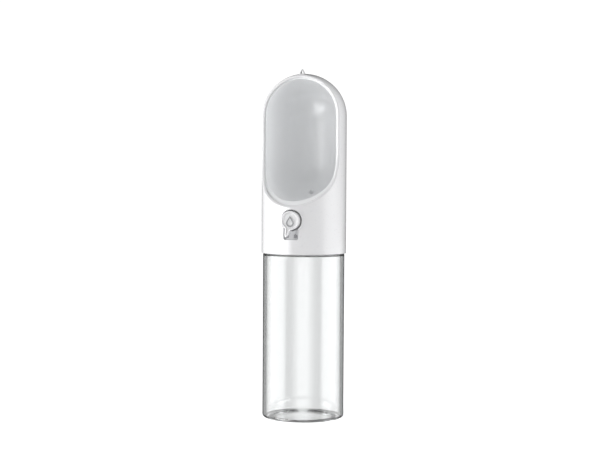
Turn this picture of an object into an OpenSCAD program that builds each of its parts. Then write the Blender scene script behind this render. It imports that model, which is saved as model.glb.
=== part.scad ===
// Travel water bottle for dogs: a clear bottle that screws into a white head.
// The head holds a drinking dish, a filter and a sprung valve worked by a turning push key.
// The bottle stands on Z = 0 about the Z axis, and the dish opens towards -Y. Millimetres.

/* [Bottle] */
// Height of the clear bottle up to its shoulder
bottle_h = 125.6; // [90:1:180]
// Thickness of the bottle's side wall
bottle_wall = 2.2; // [1.6:0.1:3]
// Thickness of the base and of the shoulder
bottle_floor = 2.6; // [2:0.1:4]
// Rounding of the edge that the bottle stands on
base_round = 1.5; // [0.8:0.1:1.8]
// Width of the hollow pushed up into the base
pushup_d = 46; // [36:1:52]
// Height of the hollow pushed up into the base
pushup_h = 3.2; // [1.5:0.1:5]
// How far the bottle's side stands in from the head's side
seam_step = 1.17; // [0.6:0.01:1.5]
// Open seam between the bottle's shoulder and the head
seam_gap = 0.4; // [0.3:0.1:0.8]

/* [Neck and thread] */
// Height of the neck above the shoulder
neck_h = 14; // [13:0.5:18]
// Thickness of the neck's wall
neck_wall = 2.4; // [2:0.1:3]
// Rise of the thread in one turn
thread_pitch = 4; // [3.6:0.1:4.2]
// Height of the thread's ridge
thread_depth = 1.3; // [1:0.1:1.6]
// Width of the ridge where it meets the neck
thread_root = 2.2; // [1.8:0.1:2.2]
// Width of the ridge's flat crest
thread_crest = 1; // [0.6:0.1:1.2]
// Turns of thread on the neck
neck_turns = 1.2; // [1:0.1:1.4]
// Turns of thread in the collar
collar_turns = 1.5; // [1.2:0.1:1.6]
// Thickness of the gasket on the neck's edge
gasket_t = 1.8; // [1.2:0.1:2.4]

/* [Head] */
// Outside diameter of the head
head_d = 65; // [62:1:72]
// Thickness of the head's white shell
shell_wall = 2; // [1.8:0.1:2.3]
// Height of the dome's centre above the dish's lower centre
dome_up = 36.6; // [30:0.2:56]
// How far the head's flat face stands in front of the axis
face_y = 9.9; // [8:0.1:12]
// Radius of the sweep from the flat face to the lip
sweep_r = 40; // [34:1:44]
// Height of the sweep's lower end above the key's well
sweep_up = 2; // [1.6:0.1:6]
// Thickness of the collar's wall
collar_wall = 2.2; // [2:0.1:2.6]
// Thickness of the collar's floor above the neck
collar_floor = 2; // [1.6:0.1:2.4]

/* [Lanyard eye] */
// Height of the eye above the top of the dome
eye_h = 3.3; // [3:0.1:5]
// How far the eye stands in front of the axis
eye_y = 5.2; // [4:0.1:6]
// Width of the eye at its foot
eye_w = 4.6; // [4:0.1:7]
// Length of the eye at its foot, front to back
eye_l = 6; // [5:0.1:7]
// Diameter of the hole for the lanyard
eye_hole_d = 2.2; // [1.8:0.1:2.6]

/* [Drinking dish] */
// Thickness of the dish's wall
dish_wall = 1.2; // [1:0.1:1.8]
// Height of the dish's lowest point above the sweep's lower end
dish_up = 2.5; // [1.8:0.1:6]
// Distance of the water outlet in from the shell's inside
outlet_y = 10.5; // [9.4:0.1:12.5]
// Bore of the water outlet
outlet_d = 3.8; // [3:0.1:4.4]
// Wall of the outlet's spigots
spigot_wall = 1.3; // [1:0.1:1.5]
// Wall of the silicone sleeve that joins the spigots
sleeve_wall = 1.2; // [0.8:0.1:1.6]

/* [Water key] */
// Height of the key's centre above the collar's deck
key_up = 8.2; // [7.6:0.1:10]
// Diameter of the key
key_d = 14.4; // [13:0.1:15]
// How far the key's face stands out of the shell
key_proud = 2.5; // [2:0.1:3]
// Thickness of the key's disc
key_t = 3.8; // [3.6:0.1:4.2]
// Gap around the key
key_gap = 0.6; // [0.4:0.1:0.8]
// Width of the raised border on the key's face
key_border = 1.3; // [1:0.1:1.6]
// Depth of the key's sunk face
key_sink = 0.4; // [0.2:0.1:0.8]
// Reach of the key's tail from the key's centre
tail_reach = 12.9; // [12:0.1:13.4]
// Width of the tail at its tip
tail_tip_w = 2.4; // [1.8:0.1:3]
// Width of the tail's root
tail_root_w = 4.5; // [3.6:0.1:6]
// Thickness of the tail
tail_t = 1.6; // [1.2:0.1:1.8]
// Angle of the resting tail from straight down
tail_angle = 15.5; // [13:0.5:17]
// Angle that the key turns to its locked place
lock_angle = 32; // [28:1:34]
// Travel of the key when it is pressed
key_press = 2; // [1.6:0.1:2.2]
// Half the width of the pocket that the tail swings in
pocket_half = 5.85; // [5.6:0.05:6.4]
// Distance of the pocket's lower edge below the key's centre
pocket_drop = 14.4; // [14:0.1:15]
// Depth of the pocket
pocket_depth = 1.5; // [1.4:0.1:1.7]
// Width of the drop outlined on the key
drop_w = 5.8; // [4.6:0.1:6.4]
// Height of the drop outlined on the key
drop_h = 8.2; // [7.4:0.1:8.6]
// Width of the drawn lines of the drop
drop_line = 0.9; // [0.6:0.1:1.2]
// Width of the padlock signs
padlock_w = 2.6; // [2:0.1:3]

/* [Valve] */
// Outside diameter of the valve's barrel
barrel_d = 13.6; // [13:0.1:13.8]
// Bore of the front chamber
front_bore = 9.2; // [9:0.1:9.8]
// Bore of the rear chamber
rear_bore = 10; // [9.8:0.1:10.6]
// Diameter of the stem
stem_d = 3; // [2.6:0.1:3.2]
// Bore of the seat that the valve's disc closes
seat_d = 5.2; // [4.8:0.1:5.6]
// Thickness of the seat's wall
seat_t = 2; // [1.6:0.1:2.6]
// Distance of the seat's wall behind the axis
seat_y = 5; // [4:0.1:5.4]
// Diameter of the silicone disc
disc_d = 8; // [7.4:0.1:8.6]
// Thickness of the silicone disc
disc_t = 1.2; // [1:0.1:1.6]
// Thickness of the wire of the spring
wire_d = 0.6; // [0.4:0.05:0.7]
// Mean diameter of the spring
spring_d = 6.8; // [6.4:0.1:7.2]
// Turns of the spring
spring_turns = 7; // [5:0.5:8]
// Bore of the inlet
inlet_d = 5; // [4:0.1:5.4]

/* [Filter] */
// Outside diameter of the filter's cage
filter_d = 31; // [26:0.5:34]
// Wall of the filter's cage
cage_wall = 1.2; // [1:0.1:1.6]
// Thickness of the fine screens
screen_t = 0.4; // [0.3:0.1:0.6]

/* [Fits] */
// Gap between pieces that are bonded or clipped together
fit_gap = 0.1; // [0.05:0.05:0.15]
// Gap around a piece that turns or slides
run_gap = 0.05; // [0.03:0.01:0.08]
// Gap all round between the two threads
thread_gap = 0.35; // [0.3:0.05:0.45]
// Width of the steel clips, front to back
clip_t = 0.8; // [0.6:0.1:1]
// Thickness of an O-ring's cord
ring_cord = 0.9; // [0.8:0.05:1]

/* [Hidden] */
$fn = 96;
hull_fn = 32;
small_fn = 48;

// How far a cutting shape runs past what it cuts, and how far joined forms reach into each other
past = 1;
bite = 0.1;
// A hair's breadth that keeps two faces from lying in one plane
hair = 0.01;

// Radii of the head, outside in
head_r = head_d / 2;
shell_ri = head_r - shell_wall;
dish_ro = shell_ri - fit_gap;
dish_ri = dish_ro - dish_wall;
collar_ro = shell_ri - 1.5 * fit_gap;
collar_ri = collar_ro - collar_wall;
ridge_r = collar_ri - thread_gap;
neck_r = ridge_r - thread_depth;
neck_ri = neck_r - neck_wall;
bottle_r = head_r - seam_step;
bottle_ri = bottle_r - bottle_wall;

// Heights, from the floor up: each piece stands on the one below it
head_z = bottle_h + seam_gap;
neck_top = bottle_h + neck_h;
floor_z = neck_top + gasket_t;
deck_z = floor_z + collar_floor;
key_z = deck_z + key_up;
well_r = key_d / 2 + key_gap;
lip_z = key_z + well_r + sweep_up;
dish_z = lip_z + dish_up + dish_ro;
dome_z = dish_z + dome_up;
dome_top = dome_z + head_r;

// The sweep's axis: from it the arc runs down through 45 degrees, then a line to the lip
sweep_drop = sweep_r * cos(45);
sweep_y = -(face_y + sweep_r);
sweep_z = lip_z + head_r + sweep_y + 2 * sweep_drop;

// The neck's ridge ends near the neck's top, and the collar's ridge lies half a pitch away
ridge_drop = 5.3;
ridge_top = neck_top - ridge_drop;
ridge_z = ridge_top - neck_turns * thread_pitch;
collar_ridge_z = ridge_top - collar_turns * thread_pitch;
ridge_turn = 360 * (collar_ridge_z - ridge_z) / thread_pitch + 180;
ridge_steps = 40;
ridge_sunk = 0.4;
ridge_fade = 0.1;
ridge_start = 0.12;

// The collar snaps into the shell, and a lip under its floor centres the gasket
snap_z = head_z + 3;
snap_r = 0.4;
gasket_inset = 0.3;
lip_t = 1.1;
lip_h = 1.4;

// Places along the key's axis, from the front backwards
key_r = key_d / 2;
key_face_y = -(head_r + key_proud);
key_back_y = key_face_y + key_t;
press_slack = 0.6;
rotor_y = key_back_y + key_press + press_slack;
flange_t = 1.2;
bezel_floor_y = rotor_y + flange_t + fit_gap;
bearing_l = 4;
bearing_end_y = bezel_floor_y + bearing_l;
rotor_clip_y = bearing_end_y + run_gap;
rotor_end_y = rotor_clip_y + clip_t + 0.6;
key_clip_y = rotor_end_y + run_gap;
hub_end_y = key_clip_y + clip_t + 0.6;
stem_tip_y = hub_end_y + fit_gap;
gland_y = hub_end_y + key_press + press_slack;
gland_flange_t = 1.5;
barrel_y = gland_y + gland_flange_t;
gland_l = 5;
disc_y = seat_y + seat_t;
collet_t = 1.2;
spring_y = disc_y + disc_t + collet_t;
outlet_r = outlet_d / 2;
spout_y = shell_ri - outlet_y;
plug_y = spout_y + outlet_r + 0.5;
plug_l = 3.6;
barrel_end_y = plug_y + plug_l;

// Radii about the key's axis
rotor_r = 5;
hub_r = 3.2;
lug_r = 4.3;
lug_w = 1.6;
bezel_wall = 0.8;
bezel_r = well_r + bezel_wall;
bezel_floor_t = 1.6;
plate_side = 2.6;
plate_low = 1.5;
notch_room = 0.3;
clip_over = 1.1;
clip_bite = 0.5;
clip_mouth = 0.6;
pin_r = 0.7;
pin_at_r = 6;
pin_at_angle = 100;
barrel_r = barrel_d / 2;
stem_r = stem_d / 2;
ring_r = ring_cord / 2;
ring_slack = 0.1;
groove_w = ring_cord + 2 * ring_slack;
stem_groove_y = gland_y + gland_flange_t + 1.4;
gland_groove_y = stem_groove_y + 1.8;
plug_groove_y = plug_y + 1;
inlet_groove_z = floor_z + 0.3;
pilot_room = 0.4;
pilot_r = spring_d / 2 - wire_d / 2 - pilot_room;
pilot_l = 1.2;
cap_t = 1.4;

// Inlet, outlet and filter
inlet_ro = inlet_d / 2 + 1.5;
inlet_end_z = neck_top - 0.7;
boss_r = 7;
boss_h = 3.5;
boss_z = floor_z - boss_h;
spigot_r = outlet_r + spigot_wall;
sleeve_r = spigot_r + sleeve_wall;
barrel_top = key_z + barrel_r;
sleeve_room = 1.6;
sleeve_z = barrel_top + sleeve_room;
sleeve_end_z = dish_z - sqrt(pow(dish_ro, 2) - pow(spout_y - sleeve_r, 2)) - sleeve_room / 2;
spigot_gap = 0.8;
joint_z = (sleeve_z + sleeve_end_z) / 2;
filter_r = filter_d / 2;
filter_up = 1.3;
filter_z = bottle_h + filter_up;
cage_floor = 1.5;
lid_t = 1.5;
lid_rim = 1;
block_r = filter_r - cage_wall - fit_gap;
block_z = filter_z + cage_floor + screen_t + fit_gap;
block_end_z = boss_z - lid_rim - screen_t - fit_gap;

// Two screws hold the valve's body down on the collar
ear_x = 10;
ear_y = 9;
ear_r = 3;
ear_t = 2;
post_h = 1.6;
screw_r = 1.15;
screw_hole_z = floor_z + 0.6;

// ---------- shared shapes ----------

// Puts a child, drawn along +Z, on the key's axis so that it runs back from y
module on_key_axis(y) {
    translate([0, y, key_z]) rotate([-90, 0, 0]) children();
}

// Extrudes a flat outline, seen from the front, forwards from y
module front_plate(y, thick) {
    translate([0, y, key_z]) rotate([90, 0, 0]) linear_extrude(thick) children();
}

// A ring about the child's own Z axis
module ring(ro, ri, h) {
    difference() {
        cylinder(r = ro, h = h);
        translate([0, 0, -past]) cylinder(r = ri, h = h + 2 * past);
    }
}

// A round cord bent into a circle, lying at mid height 0
module o_ring(mid_r) {
    rotate_extrude() translate([mid_r, 0]) circle(r = ring_r, $fn = small_fn);
}

// A flat steel clip that grips a groove in a round piece of radius r, open at the bottom
module open_clip(y, r) {
    mouth = clip_mouth * r;
    color("silver") difference() {
        on_key_axis(y) ring(r + clip_over, r - clip_bite, clip_t);
        translate([-mouth, y - past, key_z - 2 * r]) cube([2 * mouth, clip_t + 2 * past, 2 * r]);
    }
}

// The groove that an open clip sits in
module clip_groove(y, r) {
    on_key_axis(y) ring(r + past, r - clip_bite, clip_t);
}

// A thread's ridge as one closed sweep that fades in and out over its first and last tenth of a turn
function fade(i, n, k) = min(1, ridge_start + i / k, ridge_start + (n - i) / k);
module ridge(root_r, crest_r, turns, z0, turned) {
    n = ceil(turns * ridge_steps);
    k = ridge_fade * ridge_steps;
    rows = [for (i = [0 : n])
        let (a = turned + 360 * turns * i / n,
             z = z0 + thread_pitch * turns * i / n,
             f = fade(i, n, k),
             r = root_r + (crest_r - root_r) * f,
             h = thread_root / 2 + (thread_crest - thread_root) / 2 * f)
        [for (p = [[root_r, -thread_root / 2], [r, -h], [r, h], [root_r, thread_root / 2]])
            [p[0] * cos(a), p[0] * sin(a), z + p[1]]]];
    points = [for (row = rows) each row];
    sides = [for (i = [0 : n - 1], j = [0 : 3])
        each [[4 * i + j, 4 * i + (j + 1) % 4, 4 * i + 4 + j],
              [4 * i + (j + 1) % 4, 4 * i + 4 + (j + 1) % 4, 4 * i + 4 + j]]];
    ends = [[3, 2, 1, 0], [4 * n, 4 * n + 1, 4 * n + 2, 4 * n + 3]];
    inward = crest_r < root_r;
    faces = concat(sides, ends);
    polyhedron(points, inward ? [for (f = faces) [for (q = [len(f) - 1 : -1 : 0]) f[q]]] : faces);
}

// The space in front of the head's face: flat above, then a sweep that runs out at 45 degrees
module front_space() {
    wide = 2 * head_d;
    run = head_d;
    translate([-wide / 2, -face_y - run, sweep_z]) cube([wide, run, dome_top + head_r - sweep_z]);
    translate([0, sweep_y, sweep_z]) rotate([0, 90, 0])
        cylinder(r = sweep_r, h = wide, center = true, $fn = 180);
    translate([-wide / 2, 0, 0]) rotate([90, 0, 90]) linear_extrude(wide)
        polygon([[sweep_y + sweep_drop, sweep_z - sweep_drop],
                 [sweep_y + sweep_drop - run, sweep_z - sweep_drop - run],
                 [sweep_y - run, sweep_z],
                 [sweep_y, sweep_z]]);
}

// A cylinder of radius r from z0 up to the dome's centre, closed by a dome of the same radius
module domed(r, z0) {
    rotate_extrude() {
        translate([0, z0]) square([r, dome_z - z0]);
        translate([0, dome_z]) intersection() {
            circle(r = r);
            square([r, r]);
        }
    }
}

// The dish's form: a domed cylinder whose lower end is a bullet lying along Y
module dish_form(r) {
    domed(r, dish_z);
    intersection() {
        translate([0, 0, dish_z - r]) cylinder(r = r, h = r);
        translate([0, -head_r, dish_z]) rotate([-90, 0, 0]) rotate_extrude() {
            square([r, head_r]);
            translate([0, head_r]) intersection() {
                circle(r = r);
                square([r, r]);
            }
        }
    }
}

// ---------- bottle ----------

module bottle_body() {
    cap_r = (pushup_d * pushup_d / 4 + pushup_h * pushup_h) / (2 * pushup_h);
    shoulder_round = 0.6;
    color("gainsboro", 0.35) difference() {
        union() {
            rotate_extrude() {
                translate([0, base_round]) square([bottle_r, bottle_h - base_round - shoulder_round]);
                square([bottle_r - base_round, bottle_h]);
                translate([bottle_r - base_round, base_round]) circle(r = base_round);
                square([bottle_r - shoulder_round, bottle_h]);
                translate([bottle_r - shoulder_round, bottle_h - shoulder_round]) circle(r = shoulder_round);
            }
            cylinder(r = neck_r, h = neck_top);
            ridge(neck_r - ridge_sunk, ridge_r, neck_turns, ridge_z, 0);
        }
        difference() {
            union() {
                translate([0, 0, bottle_floor]) cylinder(r = bottle_ri, h = bottle_h - 2 * bottle_floor);
                translate([0, 0, bottle_floor]) cylinder(r = neck_ri, h = neck_top);
            }
            translate([0, 0, pushup_h - cap_r]) sphere(r = cap_r + bottle_floor);
        }
        translate([0, 0, pushup_h - cap_r]) sphere(r = cap_r);
    }
}

module neck_gasket() {
    color("white") translate([0, 0, neck_top]) ring(neck_r - fit_gap, neck_ri + gasket_inset, gasket_t);
}

// ---------- head ----------

module pocket_outline(grow) {
    corner = 1.2;
    half = pocket_half + grow;
    drop = pocket_drop + grow;
    circle(r = well_r + grow);
    translate([-half, -drop + corner]) square([2 * half, drop - corner]);
    translate([-half + corner, -drop]) square([2 * (half - corner), drop]);
    for (s = [-1, 1])
        translate([s * (half - corner), -drop + corner]) circle(r = corner);
}

module eye() {
    foot_z = dome_top - 1.8;
    foot_t = 0.4;
    crest_r = 0.8;
    crest_l = 2;
    lean = 0.7;
    hull() {
        translate([-eye_w / 2, -eye_y - eye_l / 2, foot_z]) cube([eye_w, eye_l, foot_t]);
        translate([0, -eye_y - lean, dome_top + eye_h - crest_r]) rotate([90, 0, 0])
            cylinder(r = crest_r, h = crest_l, center = true, $fn = hull_fn);
    }
}

module head_shell() {
    eye_hole_z = 0.8;
    eye_back_y = -eye_y + eye_l / 2;
    color("white") difference() {
        union() {
            difference() {
                domed(head_r, head_z);
                domed(shell_ri, head_z - past);
                front_space();
            }
            eye();
        }
        front_plate(-head_r / 2, head_r) pocket_outline(0);
        translate([0, 0, snap_z]) rotate_extrude() translate([shell_ri - bite, 0]) circle(r = 1.5 * snap_r);
        translate([0, eye_back_y + past / 2, dome_top + eye_hole_z]) rotate([90, 0, 0])
            cylinder(r = eye_hole_d / 2, h = head_r);
    }
}

module drinking_dish() {
    skirt_z = lip_z - 0.4;
    skirt_l = 13;
    inset = 0.15;
    spigot_z = joint_z + spigot_gap / 2;
    color("gainsboro") difference() {
        union() {
            difference() {
                dish_form(dish_ro);
                dish_form(dish_ri);
            }
            intersection() {
                translate([0, 0, skirt_z]) ring(dish_ro, dish_ri, dish_z - skirt_z);
                translate([-head_r, -head_r, skirt_z]) cube([head_d, skirt_l, dish_z - skirt_z]);
            }
            difference() {
                translate([0, spout_y, spigot_z]) cylinder(r = spigot_r, h = dish_z - spigot_z);
                dish_form(dish_ri);
            }
        }
        translate([0, spout_y, spigot_z - past]) cylinder(r = outlet_r, h = dish_z - spigot_z);
        translate([0, inset, 0]) front_space();
    }
}

module key_bezel() {
    pad_r = head_r - pocket_depth;
    plate_ri = shell_ri - 2.3;
    plate_half = well_r + plate_side;
    low = pocket_drop + plate_low;
    bearing_r = rotor_r + 1.6;
    color("white") difference() {
        union() {
            intersection() {
                translate([0, 0, key_z - low]) ring(shell_ri - fit_gap, plate_ri, low + bezel_r);
                translate([-plate_half, -head_r, key_z - low]) cube([2 * plate_half, head_r, low + bezel_r]);
            }
            intersection() {
                translate([0, 0, key_z - low]) ring(pad_r, plate_ri, low);
                front_plate(-head_r / 2, head_r) pocket_outline(-fit_gap);
            }
            intersection() {
                on_key_axis(-head_r) cylinder(r = bezel_r, h = bezel_floor_y + head_r + bezel_floor_t);
                translate([0, 0, key_z - low]) cylinder(r = shell_ri - fit_gap, h = low + bezel_r);
            }
            on_key_axis(bezel_floor_y) cylinder(r = bearing_r, h = bearing_l);
        }
        on_key_axis(-head_r) cylinder(r = well_r, h = bezel_floor_y + head_r);
        on_key_axis(-head_r) cylinder(r = rotor_r + run_gap, h = head_r);
    }
    color("white") on_key_axis(bezel_floor_y - flange_t)
        rotate(-pin_at_angle) translate([pin_at_r, 0]) cylinder(r = pin_r, h = flange_t + bite);
}

module padlock(open) {
    body_h = 0.75 * padlock_w;
    bow_r = 0.36 * padlock_w;
    line = 0.18 * padlock_w;
    lift = open ? 0.22 * padlock_w : 0;
    translate([-padlock_w / 2, -body_h]) square([padlock_w, body_h]);
    translate([0, lift]) difference() {
        union() {
            circle(r = bow_r, $fn = small_fn);
            translate([-bow_r, -lift - bite]) square([line, lift + bite]);
        }
        circle(r = bow_r - line, $fn = small_fn);
        translate([-bow_r + line, -bow_r - past]) square([2 * bow_r, bow_r + past]);
    }
}

module lock_signs() {
    sign_r = head_r - pocket_depth;
    sign_t = 0.2;
    sign_up = 3.2;
    turn = 6;
    color("gray") for (s = [-1, 1]) intersection() {
        rotate([0, 0, s * turn]) front_plate(-head_r / 2, head_r)
            translate([0, -pocket_drop + sign_up]) padlock(s < 0);
        translate([0, 0, key_z - pocket_drop]) ring(sign_r + sign_t, sign_r, pocket_drop);
    }
}

module threaded_collar() {
    low_z = head_z + 0.5;
    lip_ro = neck_ri + gasket_inset - fit_gap;
    notch_half = well_r + plate_side + notch_room;
    notch_z = key_z - pocket_drop - plate_low - notch_room;
    notch_h = deck_z - notch_z + past;
    screw_hole_l = deck_z + post_h - screw_hole_z + past;
    color("whitesmoke") difference() {
        union() {
            translate([0, 0, low_z]) ring(collar_ro, collar_ri, floor_z - low_z);
            translate([0, 0, floor_z]) cylinder(r = collar_ro, h = collar_floor);
            translate([0, 0, snap_z]) rotate_extrude() translate([collar_ro - bite, 0]) circle(r = snap_r);
            translate([0, 0, floor_z - lip_h]) ring(lip_ro, lip_ro - lip_t, lip_h);
            translate([0, 0, boss_z]) cylinder(r = boss_r, h = floor_z - boss_z);
            ridge(collar_ri + ridge_sunk, neck_r + thread_gap, collar_turns, collar_ridge_z, ridge_turn);
            for (s = [-1, 1])
                translate([s * ear_x, ear_y, deck_z]) cylinder(r = ear_r - 2 * fit_gap, h = post_h);
        }
        translate([0, 0, boss_z - past]) cylinder(r = inlet_ro + fit_gap, h = deck_z - boss_z + 2 * past);
        for (s = [-1, 1])
            translate([s * ear_x, ear_y, screw_hole_z]) cylinder(r = screw_r + run_gap, h = screw_hole_l);
        intersection() {
            translate([0, 0, notch_z]) ring(head_r, collar_ri - bite, notch_h);
            translate([-notch_half, -head_r, notch_z]) cube([2 * notch_half, head_r, notch_h]);
        }
        on_key_axis(-head_r)
            cylinder(r = bezel_r + notch_room, h = bezel_floor_y + head_r + bezel_floor_t + notch_room);
    }
}

// ---------- valve ----------

module valve_body() {
    color("white") difference() {
        union() {
            on_key_axis(barrel_y) cylinder(r = barrel_r, h = barrel_end_y - barrel_y);
            translate([0, 0, inlet_end_z]) cylinder(r = inlet_ro, h = key_z - inlet_end_z);
            translate([0, spout_y, key_z]) cylinder(r = spigot_r, h = joint_z - spigot_gap / 2 - key_z);
            translate([-ear_x, ear_y - ear_r, deck_z + post_h]) cube([2 * ear_x, 2 * ear_r, ear_t]);
            for (s = [-1, 1])
                translate([s * ear_x, ear_y, deck_z + post_h]) cylinder(r = ear_r, h = ear_t);
        }
        on_key_axis(barrel_y - past) cylinder(r = front_bore / 2, h = seat_y - barrel_y + past);
        on_key_axis(seat_y - past) cylinder(r = seat_d / 2, h = seat_t + 2 * past);
        on_key_axis(disc_y) cylinder(r = rear_bore / 2, h = barrel_end_y - disc_y + past);
        translate([0, 0, inlet_end_z - past]) cylinder(r = inlet_d / 2, h = key_z - inlet_end_z + past);
        translate([0, spout_y, key_z]) cylinder(r = outlet_r, h = head_r);
        translate([0, 0, inlet_groove_z]) ring(inlet_ro + past, inlet_ro + fit_gap - ring_cord, groove_w);
        for (s = [-1, 1])
            translate([s * ear_x, ear_y, deck_z]) cylinder(r = screw_r + 2 * fit_gap, h = 2 * ear_t + post_h);
    }
}

module valve_screws() {
    seat_z = deck_z + post_h + ear_t;
    end_z = screw_hole_z + 2 * fit_gap;
    screw_head_r = 2.3;
    screw_head_h = 1.4;
    taper = 0.5;
    cross_w = 0.5;
    cross_l = 2.6;
    cross_d = 0.8;
    color("silver") for (s = [-1, 1]) translate([s * ear_x, ear_y, 0]) difference() {
        union() {
            translate([0, 0, end_z]) cylinder(r = screw_r, h = seat_z - end_z);
            translate([0, 0, seat_z]) cylinder(r1 = screw_head_r, r2 = screw_head_r - taper, h = screw_head_h);
        }
        for (a = [0, 90]) rotate([0, 0, a])
            translate([-cross_l / 2, -cross_w / 2, seat_z + screw_head_h - cross_d])
                cube([cross_l, cross_w, cross_d + past]);
    }
}

module gland_plug() {
    color("whitesmoke") difference() {
        union() {
            on_key_axis(gland_y) cylinder(r = barrel_r, h = gland_flange_t);
            on_key_axis(gland_y) cylinder(r = front_bore / 2 - run_gap, h = gland_flange_t + gland_l);
        }
        on_key_axis(gland_y - past) cylinder(r = stem_r + run_gap, h = gland_l + gland_flange_t + 2 * past);
        on_key_axis(stem_groove_y) cylinder(r = stem_r + run_gap + ring_cord + ring_slack, h = groove_w);
        on_key_axis(gland_groove_y) ring(front_bore, front_bore / 2 - ring_cord, groove_w);
    }
}

module stem_o_ring() {
    color("dimgray") on_key_axis(stem_groove_y + groove_w / 2) o_ring(stem_r + run_gap + ring_r);
}

module plug_o_rings() {
    color("dimgray") {
        on_key_axis(gland_groove_y + groove_w / 2) o_ring(front_bore / 2 - ring_r);
        on_key_axis(plug_groove_y + groove_w / 2) o_ring(rear_bore / 2 - ring_r);
    }
}

module end_plug() {
    color("whitesmoke") difference() {
        union() {
            on_key_axis(plug_y) cylinder(r = rear_bore / 2 - run_gap, h = plug_l);
            on_key_axis(barrel_end_y) cylinder(r = barrel_r, h = cap_t);
            on_key_axis(plug_y - pilot_l) cylinder(r = pilot_r, h = pilot_l);
        }
        on_key_axis(plug_groove_y) ring(rear_bore, rear_bore / 2 - ring_cord, groove_w);
    }
}

module inlet_o_ring() {
    color("dimgray") translate([0, 0, inlet_groove_z + groove_w / 2]) o_ring(inlet_ro + fit_gap - ring_r);
}

module outlet_sleeve() {
    color("white") translate([0, spout_y, sleeve_z]) ring(sleeve_r, spigot_r, sleeve_end_z - sleeve_z);
}

module valve_stem() {
    tip_round = 0.5;
    collet_r = disc_d / 2 - 0.4;
    color("whitesmoke") on_key_axis(stem_tip_y) rotate_extrude() {
        translate([0, tip_round]) square([stem_r, spring_y - stem_tip_y - tip_round]);
        square([stem_r - tip_round, tip_round]);
        translate([stem_r - tip_round, tip_round]) circle(r = tip_round);
        translate([0, disc_y + disc_t - stem_tip_y]) square([collet_r, collet_t]);
        translate([0, spring_y - stem_tip_y]) square([pilot_r, pilot_l]);
    }
}

module valve_disc() {
    color("lightgray") on_key_axis(disc_y) ring(disc_d / 2, stem_r, disc_t);
}

// The spring is one round wire on a helix whose first and last turns rise less than the others
module return_spring() {
    free = plug_y - spring_y - wire_d - 2 * run_gap;
    steps = 14;
    n = round(spring_turns * steps);
    sides = 6;
    w = wire_d / 2;
    close = 0.62;
    e = 1 / spring_turns;
    function climb(t) = t < e ? close * t
        : t > 1 - e ? 1 - close * (1 - t)
        : close * e + (1 - 2 * close * e) * (t - e) / (1 - 2 * e);
    heights = [for (i = [0 : n]) free * climb(i / n)];
    least = min([for (i = [steps : n]) heights[i] - heights[i - steps]]) - wire_d;
    echo(str("Least gap between the spring's turns: ", least, " mm"));
    points = [for (i = [0 : n], j = [0 : sides - 1])
        let (a = 360 * spring_turns * i / n, b = 360 * j / sides, r = spring_d / 2 + w * cos(b))
        [r * cos(a), r * sin(a), w + run_gap + heights[i] + w * sin(b)]];
    skin = [for (i = [0 : n - 1], j = [0 : sides - 1])
        let (p = i * sides + j, q = i * sides + (j + 1) % sides)
        each [[p, q, p + sides], [q, q + sides, p + sides]]];
    ends = [[for (j = [sides - 1 : -1 : 0]) j], [for (j = [0 : sides - 1]) n * sides + j]];
    color("silver") on_key_axis(spring_y) polyhedron(points, concat(skin, ends));
}

// ---------- filter ----------

module filter_cage() {
    inner_r = filter_r - cage_wall;
    depth = boss_z - filter_z;
    hole_r = 1.5;
    windows = 12;
    window_w = 3;
    window_room = 1.5;
    window_z = filter_z + cage_floor + window_room;
    window_h = depth - cage_floor - 3 * window_room;
    color("white") difference() {
        translate([0, 0, filter_z]) cylinder(r = filter_r, h = depth);
        translate([0, 0, filter_z + cage_floor]) cylinder(r = inner_r, h = depth);
        for (row = [1, 2], i = [1 : 6 * row]) rotate([0, 0, 60 * (i - row / 2) / row])
            translate([inner_r * row * 3 / 8, 0, filter_z - past])
                cylinder(r = hole_r, h = cage_floor + 2 * past, $fn = small_fn);
        for (i = [1 : windows]) rotate([0, 0, 360 * i / windows])
            translate([inner_r - past, -window_w / 2, window_z]) cube([cage_wall + 2 * past, window_w, window_h]);
    }
}

module filter_lid() {
    color("white") {
        translate([0, 0, boss_z]) ring(filter_r, boss_r + run_gap, lid_t);
        translate([0, 0, boss_z + lid_t]) ring(boss_r + lid_t, boss_r + run_gap, lid_t);
        translate([0, 0, boss_z - lid_rim]) ring(block_r, block_r - cage_wall, lid_rim);
    }
}

module carbon_block() {
    color("dimgray") translate([0, 0, block_z]) cylinder(r = block_r, h = block_end_z - block_z);
}

module filter_screens() {
    color("silver") for (z = [block_z - screen_t - fit_gap / 2, block_end_z + fit_gap / 2])
        translate([0, 0, z]) cylinder(r = block_r, h = screen_t);
}

// ---------- key and lock ----------

// The key seen from the front: a disc whose tail points down to the left
module key_outline() {
    root_at = 6;
    blend = 1.6;
    $fn = 64;
    offset(r = -blend) offset(r = blend) {
        circle(r = key_r);
        rotate(-tail_angle) hull() {
            translate([0, -(tail_reach - tail_tip_w / 2)]) circle(d = tail_tip_w);
            translate([0, -root_at]) circle(d = tail_root_w);
        }
    }
}

module water_key() {
    lug_room = 0.5;
    color("white") difference() {
        union() {
            front_plate(key_face_y + tail_t, tail_t) key_outline();
            on_key_axis(key_face_y + tail_t - bite) cylinder(r = key_r - 2 * hair, h = key_t - tail_t + bite);
            on_key_axis(key_back_y - bite) cylinder(r = hub_r, h = hub_end_y - key_back_y + bite);
            translate([-lug_r, key_back_y - bite, key_z - lug_w / 2])
                cube([2 * lug_r, rotor_end_y - key_back_y - key_press - lug_room, lug_w]);
        }
        front_plate(key_face_y + key_sink, key_sink + past) offset(r = -key_border) key_outline();
        clip_groove(key_clip_y, hub_r);
    }
}

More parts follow.
